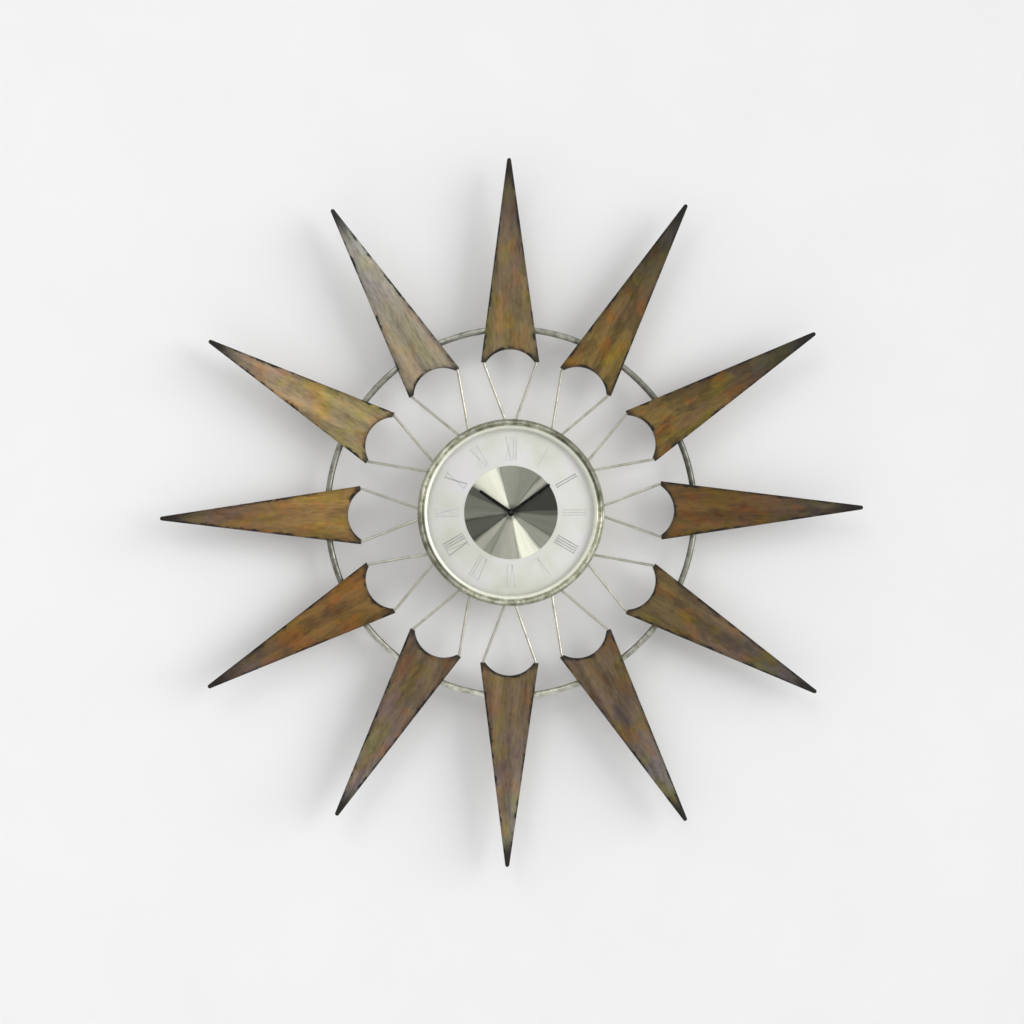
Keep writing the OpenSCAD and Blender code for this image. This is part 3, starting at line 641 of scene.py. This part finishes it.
def dome_glass():
    """Thin clear glass: sees straight through, mirrors more at a slant."""
    s = Shader("dome_glass")
    clear = s.add("ShaderNodeBsdfTransparent", {"Color": (0.995, 0.998, 0.996, 1)}).outputs[0]
    gloss = s.add("ShaderNodeBsdfGlossy", {"Color": (1, 1, 1, 1), "Roughness": 0.03}).outputs[0]
    fresnel = s.add("ShaderNodeFresnel", {"IOR": 1.12}).outputs[0]
    both = s.add("ShaderNodeMixShader", {0: fresnel, 1: clear, 2: gloss}).outputs[0]
    return s.finish(both)


# ---------------------------------------------------------------- wood rays


HALF_STEPS = 20
NOSE_STEPS = 8
EASE_STEPS = 4


def ray_outline(k, inset):
    """Outer path and hollow of a ray drawn in by inset, both from the right prong to the left."""
    nose = TIP_HALF - inset
    nose_y = TIP_R - RAY_TRIM[k] * MM - TIP_HALF
    slope = (PRONG_HALF - TIP_HALF) / (nose_y - PRONG_R)
    foot_y = PRONG_R + inset
    foot_x = PRONG_HALF - slope * inset - inset * math.hypot(1, slope)
    shares = [i / HALF_STEPS for i in range(HALF_STEPS)]
    side = [(foot_x + (nose - foot_x) * t, foot_y + (nose_y - foot_y) * t) for t in shares]
    bow = [math.pi * i / NOSE_STEPS for i in range(NOSE_STEPS + 1)]
    outer = side + [(nose * math.cos(a), nose_y + nose * math.sin(a)) for a in bow]
    outer += [(-x, y) for x, y in reversed(side)]

    hollow_r = HOLLOW_R + inset
    reach = math.acos((foot_y - HOLLOW_Y) / hollow_r)
    last = len(outer) - 1
    swing = [reach * (1 - 2 * i / last) for i in range(last + 1)]
    hollow = [(hollow_r * math.sin(a), HOLLOW_Y + hollow_r * math.cos(a)) for a in swing]
    return outer, hollow


def wood_ray(k):
    """Flat board with a pointed top, a round hollow at its foot and eased edges."""
    bends = [math.pi / 2 * i / EASE_STEPS for i in range(EASE_STEPS + 1)]
    layers = [(BACK_EASE * (1 - math.sin(a)), RAY_BACK + BACK_EASE * (1 - math.cos(a)))
              for a in bends]
    layers += [(EDGE_ROUND * (1 - math.cos(a)), RAY_FRONT - EDGE_ROUND * (1 - math.sin(a)))
               for a in bends]
    verts, faces, grain = [], [], []
    for inset, depth in layers:
        outer, hollow = ray_outline(k, inset)
        for x, y in outer + hollow[::-1]:
            grain.append((x, y, depth))
            verts.append(front(*turned(x, y, ray_angle(k)), depth))
    n = len(verts) // len(layers)
    for j in range(len(layers) - 1):
        for i in range(n):
            a, b = j * n + i, j * n + (i + 1) % n
            faces.append((a, b, b + n, a + n))
    for start in (0, (len(layers) - 1) * n):
        for i in range(n // 2 - 1):
            faces.append((start + i, start + i + 1, start + n - 2 - i, start + n - 1 - i))
    obj = new_mesh("wood_ray_%02d" % (k + 1), verts, faces)
    store = obj.data.attributes.new("grain", "FLOAT_VECTOR", "POINT")
    for i, value in enumerate(grain):
        store.data[i].vector = value
    outward(obj)
    obj.data.materials.append(walnut(k))
    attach(obj, WALL_BODY)
    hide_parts("ray_%02d" % (k + 1))


# ---------------------------------------------------------------- ring, spokes, bezel, glass

RING_STEPS, RING_SIDES = 360, 20
WIRE_SIDES = 14
WIRE_TURN = 6 * MM
WIRE_TURN_STEPS = 8
# Braze fillet: distance along the wire from its end, and thickness against the wire's
BRAZE = ((-2.2 * MM, 1.02), (-1.4 * MM, 1.12), (-0.7 * MM, 1.32), (0.4 * MM, 1.6))
BEZEL_STEPS = 960
ROPE_TURNS = 120
ROPE_DEEP = 0.28 * MM
DOME_RINGS, DOME_STEPS = 24, 144


def rod_ring():
    """Round rod bent to the ring behind the rays."""
    turns = [2 * math.pi * j / RING_SIDES for j in range(RING_SIDES)]
    profile = [(RING_R + RING_ROD * math.cos(a), RING_DEPTH + RING_ROD * math.sin(a)) for a in turns]
    obj = revolve("rod_ring", profile, RING_STEPS)
    obj.data.materials.append(RING_BRASS)
    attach(obj, WALL_BODY)
    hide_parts("outer_ring")


def spoke_path():
    """Right-hand wire of a pair: straight from the case, round the bend and on to the ring."""
    root, bend, end = (Vector(p) for p in (WIRE_ROOT, WIRE_BEND, WIRE_END))
    first = (bend - root).normalized()
    second = (end - bend).normalized()
    before, after = bend - first * WIRE_TURN, bend + second * WIRE_TURN
    path = [root + (before - root) * t for t in (0, 0.25, 0.5, 0.75, 1.0)]
    for i in range(1, WIRE_TURN_STEPS):
        t = i / WIRE_TURN_STEPS
        path.append(before * (1 - t) ** 2 + bend * (2 * t * (1 - t)) + after * t * t)
    return path + [after, (bend + end) / 2, end], end, second


def spokes():
    """A pair of wires for every ray, each with a small braze fillet where it meets the ring."""
    verts, faces = [], []
    path, end, along = spoke_path()
    braze = [end + along * back for back, _ in BRAZE]
    swell = [WIRE_ROD * size for _, size in BRAZE]
    even = [WIRE_ROD] * len(path)
    for k in range(RAYS):
        for side in (-1, 1):
            for route, radii in ((path, even), (braze, swell)):
                points = [front(*turned(side * p.x, p.y, ray_angle(k)), WIRE_DEPTH) for p in route]
                add_tube(points, radii, WIRE_SIDES, verts, faces)
    obj = outward(new_mesh("spoke_rods", verts, faces))
    obj.data.materials.append(SPOKE_BRASS)
    sharpen(obj, 50)
    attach(obj, WALL_BODY)
    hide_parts("spoke_wires")


def arc_points(cx, cy, r, start, stop, count):
    """Points along an arc about (cx, cy), from one angle in degrees to another."""
    out = []
    for i in range(count + 1):
        a = math.radians(start + (stop - start) * i / count)
        out.append((cx + r * math.cos(a), cy + r * math.sin(a)))
    return out


def bezel_ring():
    """Pressed bezel: rolled outer edge, roped bead, slanted step and a thin inner lip, made bright
    in its material by a painted reflection.
    """
    f = CASE_FRONT
    r = BEZEL_R
    lip = BEZEL_OPEN_R
    profile = [(CASE_R + 0.05 * MM, f - 4 * MM), (CASE_R + 1.2 * MM, f - 4 * MM),
               (CASE_R + 1.2 * MM, f - 0.6 * MM), (r - 1.4 * MM, f - 0.6 * MM)]
    profile += arc_points(r - 1.35 * MM, f + 0.85 * MM, 1.35 * MM, -80, 75, 10)
    first_bead = len(profile)
    profile += arc_points(r - 2.9 * MM, f + 2.7 * MM, 1.55 * MM, 12, 150, 14)
    last_bead = len(profile)
    profile += [(r - 4.7 * MM, f + 3.55 * MM), (r - 5.2 * MM, f + 4.5 * MM)]
    profile += arc_points(r - 6.3 * MM, f + 4.5 * MM, 0.85 * MM, 25, 140, 8)
    profile += [(lip + 0.35 * MM, f + 4.75 * MM), (lip + 0.02 * MM, f + 4.5 * MM),
                (lip, f + 3.45 * MM), (CASE_R + 2.2 * MM, f + 3.45 * MM),
                (CASE_R + 2.2 * MM, f + 0.8 * MM), (CASE_R + 0.05 * MM, f + 0.8 * MM)]

    def rope(i, j):
        if not first_bead <= j < last_bead:
            return 0, 0
        t = (j - first_bead) / (last_bead - 1 - first_bead)
        wave = math.sin(2 * math.pi * (ROPE_TURNS * i / BEZEL_STEPS + 0.9 * t))
        depth = ROPE_DEEP * (1 - abs(wave)) * math.sin(math.pi * t)
        a = math.radians(12 + 138 * t)
        return -depth * math.cos(a), -depth * math.sin(a)

    obj = revolve("bezel_ring", profile, BEZEL_STEPS, rope)
    obj.data.materials.append(BEZEL_GOLD)
    sharpen(obj, 40)
    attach(obj, WALL_BODY)
    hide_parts("bezel")


def dome():
    """Domed glass as a thin closed shell with its outer and inner face."""
    sag = LENS_APEX - LENS_RIM
    ball = (LENS_R ** 2 + sag ** 2) / (2 * sag)
    rings, around = DOME_RINGS, DOME_STEPS
    verts, faces = [], []
    for lift in (0.0, LENS_THICK):
        rr = ball - lift
        top = LENS_APEX - lift
        verts.append(front(0, 0, top))
        for i in range(1, rings + 1):
            r = LENS_R * i / rings
            depth = top - rr + math.sqrt(rr * rr - r * r)
            for j in range(around):
                a = 2 * math.pi * j / around
                verts.append(front(r * math.sin(a), r * math.cos(a), depth))
    sheet = 1 + rings * around
    for base in (0, sheet):
        for j in range(around):
            faces.append((base, base + 1 + j, base + 1 + (j + 1) % around))
        for i in range(rings - 1):
            a0 = base + 1 + i * around
            for j in range(around):
                k = (j + 1) % around
                faces.append((a0 + j, a0 + around + j, a0 + around + k, a0 + k))
    outer = 1 + (rings - 1) * around
    for j in range(around):
        k = (j + 1) % around
        faces.append((outer + j, outer + sheet + j, outer + sheet + k, outer + k))
    obj = outward(new_mesh("dome_glass", verts, faces))
    obj.data.materials.append(dome_glass())
    sharpen(obj, 40)
    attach(obj, WALL_BODY)
    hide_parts("lens")


# ---------------------------------------------------------------- dial print and hands

NUMERALS = ("XII", "I", "II", "III", "IIII", "V", "VI", "VII", "VIII", "IX", "X", "XI")
NUMERAL_IN = 45 * MM
NUMERAL_OUT = 64 * MM
THIN = 0.35 * MM
THICK = 0.9 * MM
# Hours whose print keeps its darker tone; the other numerals are painted pale as a painted
# reflection
STRONG_HOURS = (2, 4, 8, 10)
MARK_WIDTH = {"I": 2.2 * MM, "V": 6.4 * MM, "X": 6.4 * MM}
# Share of a mark's width by which a slanted stroke leans to each side
LEAN = 0.36
PRINT_THICK = 0.03 * MM


def stroke(x0, y0, x1, y1, width, angle, verts, faces, height):
    """Flat printed stroke from one end to the other, as a thin raised bar."""
    a, b = Vector((x0, y0)), Vector((x1, y1))
    side = Vector((a.y - b.y, b.x - a.x)).normalized() * (width / 2)
    base = len(verts)
    for depth in (height - PRINT_THICK, height):
        for p in (a - side, a + side, b + side, b - side):
            verts.append(front(*turned(p.x, p.y, angle), depth))
    faces.append(tuple(base + i for i in (0, 1, 2, 3)))
    faces.append(tuple(base + i for i in (7, 6, 5, 4)))
    for i in range(4):
        j = (i + 1) % 4
        faces.append((base + i, base + j, base + 4 + j, base + 4 + i))


def dial_print():
    """Roman numerals set round the dial with their feet to the centre."""
    verts, faces, ink = [], [], []
    top = DIAL_FACE + 0.06 * MM
    low, high = NUMERAL_IN, NUMERAL_OUT
    for hour, word in enumerate(NUMERALS):
        total = sum(MARK_WIDTH[m] for m in word)
        lines = []
        x = -total / 2
        for mark in word:
            m, lean = x + MARK_WIDTH[mark] / 2, MARK_WIDTH[mark] * LEAN
            if mark == "I":
                lines.append((m, low, m, high, THICK))
            elif mark == "V":
                lines += [(m - lean, high, m, low, THICK), (m + lean, high, m, low, THIN)]
            else:
                lines += [(m - lean, high, m + lean, low, THICK),
                          (m + lean, high, m - lean, low, THIN)]
            x += MARK_WIDTH[mark]
        for line in lines:
            stroke(*line, 30 * hour, verts, faces, top)
        for y in (low, high):
            stroke(-total / 2, y, total / 2, y, THIN, 30 * hour, verts, faces, top + 0.005 * MM)
        ink += [1.0 if hour in STRONG_HOURS else 0.0] * (len(verts) - len(ink))
    obj = new_mesh("dial_print", verts, faces, smooth=False)
    store = obj.data.attributes.new("ink", "FLOAT", "POINT")
    for i, value in enumerate(ink):
        store.data[i].value = value
    outward(obj)
    obj.data.materials.append(DIAL_INK)
    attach(obj, WALL_BODY)


# Blade of a hand: lift off its boss's back, thickness and section as shares of width and thickness
BLADE_LIFT = 0.15 * MM
BLADE_THICK = 0.57 * MM
BLADE_SECTION = ((-1.0, 0.0), (-1.0, 0.55), (-0.86, 0.80), (0.0, 1.0),
                 (0.86, 0.80), (1.0, 0.55), (1.0, 0.0))
BLADE_STEPS = 24
BOSS_ROUND = 0.25 * MM
BOSS_STEPS = 64
CAP_BORE = 1.22 * MM
CAP_ROOF = 0.36 * MM


def hand(name, node, body, boss_r, bore_r, width_in, width_out):
    """Tapered baton with a low ridge along it, a round boss and eased edges."""
    low, high = span(node)
    depth_low, depth_high = -high.y, -low.y
    mesh = frame["nodes"][node].data
    far = max(mesh.vertices, key=lambda v: v.co.x ** 2 + v.co.z ** 2).co
    angle = math.degrees(math.atan2(far.x, far.z))
    length = math.hypot(far.x, far.z)
    verts, faces = [], []
    rows = []
    for i in range(BLADE_STEPS + 1):
        t = i / BLADE_STEPS
        y = bore_r + (length - 0.4 * MM - bore_r) * t
        rows.append((y, (width_in + (width_out - width_in) * t) / 2))
    rows += [(length - 0.15 * MM, width_out * 0.32), (length, width_out * 0.12)]
    m = len(BLADE_SECTION)
    for y, w in rows:
        for sx, sd in BLADE_SECTION:
            verts.append(front(*turned(sx * w, y, angle), depth_low + BLADE_LIFT + sd * BLADE_THICK))
    for i in range(len(rows) - 1):
        for j in range(m):
            a, b = i * m + j, i * m + (j + 1) % m
            faces.append((a, b, b + m, a + m))
    faces.append(tuple(range(m)))
    faces.append(tuple((len(rows) - 1) * m + j for j in reversed(range(m))))
    rim = BOSS_ROUND
    boss = [(bore_r, depth_low), (boss_r - 0.1 * MM, depth_low), (boss_r, depth_low + 0.1 * MM),
            (boss_r, depth_high - rim), (boss_r - rim * 0.3, depth_high - rim * 0.3),
            (boss_r - rim, depth_high), (bore_r, depth_high)]
    add_ring(boss, BOSS_STEPS, verts, faces)
    obj = outward(new_mesh(name, verts, faces))
    obj.data.materials.append(HAND_BLACK)
    sharpen(obj, 30)
    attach(obj, body)
    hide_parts(node)


def hand_cap():
    """Small domed cap over the end of the centre arbor."""
    low, high = span("hand_nut")
    r, base, top = high.x, -high.y, -low.y
    inside = top - CAP_ROOF
    dome_part = [(r * math.sin(a), top - 0.02 * MM - 0.75 * MM * (1 - math.cos(a)))
                 for a in (math.pi / 2 * i / 8 for i in range(9))]
    profile = dome_part + [(r, base), (CAP_BORE, base), (CAP_BORE, inside), (0, inside)]
    obj = revolve("hand_cap", profile, 48)
    weld(obj)
    obj.data.materials.append(NUT_DARK)
    sharpen(obj, 40)
    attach(obj, "minute_arbor")
    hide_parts("hand_nut")


# ---------------------------------------------------------------- put the clock together

RING_BRASS = painted_light_ring()
SPOKE_BRASS = aged_brass("spoke_brass", (0.62, 0.61, 0.52), (0.40, 0.39, 0.32), (0.24, 0.42), 120)
BEZEL_GOLD = gilt_bezel()
# Painted light: the drum's front edge, seen in the gap inside the bezel lip, is painted pale cream
# where it would lie in shade
CASE_BRASS = turned_metal("case_brass", (0.50, 0.44, 0.31), (0.30, 0.26, 0.17), (0.30, 0.46),
                          2200, front_edge=(CASE_FRONT - 1.5 * MM, (0.88, 0.88, 0.80)))
COVER_BRASS = turned_metal("cover_brass", (0.72, 0.60, 0.38), (0.47, 0.38, 0.22), (0.30, 0.46),
                           1500, 0.3)
KNOB_BRASS = aged_brass("knob_brass", (0.76, 0.62, 0.36), (0.62, 0.51, 0.29), (0.22, 0.36), 330)
PLATE_BRASS = aged_brass("plate_brass", (0.80, 0.66, 0.38), (0.55, 0.44, 0.24), (0.24, 0.40), 70)
WHEEL_BRASS = turned_metal("wheel_brass", (0.84, 0.70, 0.40), (0.60, 0.48, 0.26), (0.22, 0.36),
                           3000, front_edge=(DIAL_FACE + 0.7 * MM, (0.012, 0.012, 0.010)))
STEEL = plain_steel("rolled_steel")
SCREW_STEEL = plain_steel("screw_steel", (0.70, 0.70, 0.70), (0.45, 0.44, 0.42))
BLUED = plain_steel("blued_steel", (0.10, 0.13, 0.24), (0.05, 0.06, 0.10))
DISC_SPUN = spun_disc()
DIAL_SILVER = silvered_dial()
DIAL_INK = printed_ink()
HAND_BLACK = black_lacquer()
NUT_DARK = plain_steel("nut_steel", (0.06, 0.06, 0.06), (0.025, 0.025, 0.025))

for k in range(RAYS):
    wood_ray(k)
rod_ring()
spokes()
bezel_ring()
dome()
dial_print()
hand("hour_baton", "hour_hand", "hour_pipe",
     boss_r=3.1 * MM, bore_r=2.5 * MM, width_in=3.0 * MM, width_out=2.5 * MM)
hand("minute_baton", "minute_hand", "minute_arbor",
     boss_r=2.8 * MM, bore_r=1.9 * MM, width_in=2.8 * MM, width_out=2.2 * MM)
hand_cap()

SLOT_MATERIAL = {
    "case_brass": CASE_BRASS, "plain_steel": STEEL, "dial_silver": DIAL_SILVER,
    "spun_metal": DISC_SPUN, "nut_metal": NUT_DARK, "knob_brass": KNOB_BRASS,
    "screw_steel": SCREW_STEEL, "movement_brass": PLATE_BRASS, "arbor_steel": STEEL,
    "blued_spring": BLUED, "wheel_brass": WHEEL_BRASS, "spoke_brass": SPOKE_BRASS,
    "bezel_gold": BEZEL_GOLD, "ray_wood": None, "clear_glass": None, "hand_black": HAND_BLACK,
}
for part in frame["record"]["subparts"]:
    material = SLOT_MATERIAL[part["material_slot"]]
    if material:
        dress(part["node"], material)
dress("back_cover", COVER_BRASS)

# ---------------------------------------------------------------- wall, floor, light, camera

# Width of the view at the rays' faces, and where the camera stands
VIEW_WIDTH = 0.8806
CAMERA_BACK = 2.6
CAMERA_ASIDE = 0.0009
CAMERA_UP = 0.0004
SENSOR = 36.0
WALL_HALF = 3.0
FLOOR_Z = -0.75


def backdrop():
    """Pale wall that casts no shadow, seen only from its front and open behind the drum."""
    s = Shader("pale_wall")
    co = s.object_space()
    fleck = s.noise(co, 9, 3.0, 0.5)
    colour = s.ramp(fleck, (0.3, (0.86, 0.86, 0.86)), (0.7, (0.875, 0.875, 0.875)))
    matt = s.add("ShaderNodeBsdfDiffuse", {"Color": colour, "Roughness": 0.6}).outputs[0]
    clear = s.add("ShaderNodeBsdfTransparent").outputs[0]
    behind = s.add("ShaderNodeNewGeometry").outputs["Backfacing"]
    from_axis = s.add("ShaderNodeVectorMath", {0: co}, operation="LENGTH").outputs["Value"]
    covered = s.math("LESS_THAN", from_axis, CASE_R + 1 * MM)
    gone = s.math("MAXIMUM", behind, covered)
    s.finish(s.add("ShaderNodeMixShader", {0: gone, 1: matt, 2: clear}).outputs[0])
    w = WALL_HALF
    corners = [(-w, 0, -w), (w, 0, -w), (w, 0, w), (-w, 0, w)]
    wall = new_mesh("backdrop_wall", corners, [(0, 1, 2, 3)], False)
    wall.data.materials.append(s.mat)
    wall.visible_shadow = False


def floor():
    """Pale floor below the clock."""
    s = Shader("pale_floor")
    fleck = s.noise(s.object_space(), 14, 3.0, 0.5)
    colour = s.ramp(fleck, (0.3, (0.80, 0.80, 0.80)), (0.7, (0.82, 0.82, 0.82)))
    s.principled(Base_Color=colour, Roughness=0.7)
    w, z = WALL_HALF, FLOOR_Z
    corners = [(-w, -w, z), (w, -w, z), (w, w, z), (-w, w, z)]
    slab = new_mesh("pale_floor", corners, [(0, 1, 2, 3)], False)
    slab.data.materials.append(s.mat)


def soft_sun(name, place, spread, strength):
    """Even light from the direction of place; spread is its angle in degrees."""
    data = bpy.data.lights.new(name, "SUN")
    data.angle = math.radians(spread)
    data.energy = strength
    lamp = bpy.data.objects.new(name, data)
    lamp.location = place
    lamp.rotation_euler = (-Vector(place)).to_track_quat("-Z", "Y").to_euler()
    bpy.context.scene.collection.objects.link(lamp)


def world_light(strength):
    """Even white light from all round."""
    world = bpy.data.worlds.new("studio")
    world.use_nodes = True
    back = world.node_tree.nodes["Background"]
    back.inputs["Color"].default_value = (1, 1, 1, 1)
    back.inputs["Strength"].default_value = strength
    bpy.context.scene.world = world


def camera():
    """Camera square on to the dial."""
    data = bpy.data.cameras.new("camera")
    data.sensor_width = SENSOR
    data.lens = SENSOR * (CAMERA_BACK - RAY_FRONT) / VIEW_WIDTH
    cam = bpy.data.objects.new("camera", data)
    cam.location = (CAMERA_ASIDE, -CAMERA_BACK, CAMERA_UP)
    cam.rotation_euler = (math.pi / 2, 0, 0)
    bpy.context.scene.collection.objects.link(cam)
    bpy.context.scene.camera = cam


backdrop()
floor()
world_light(0.735)
soft_sun("key", (1.7, -1.25, 0.4), spread=40, strength=1.45)
soft_sun("top", (-0.6, -1.7, 1.2), spread=24, strength=0.26)
camera()

bpy.context.scene.view_settings.view_transform = "Standard"
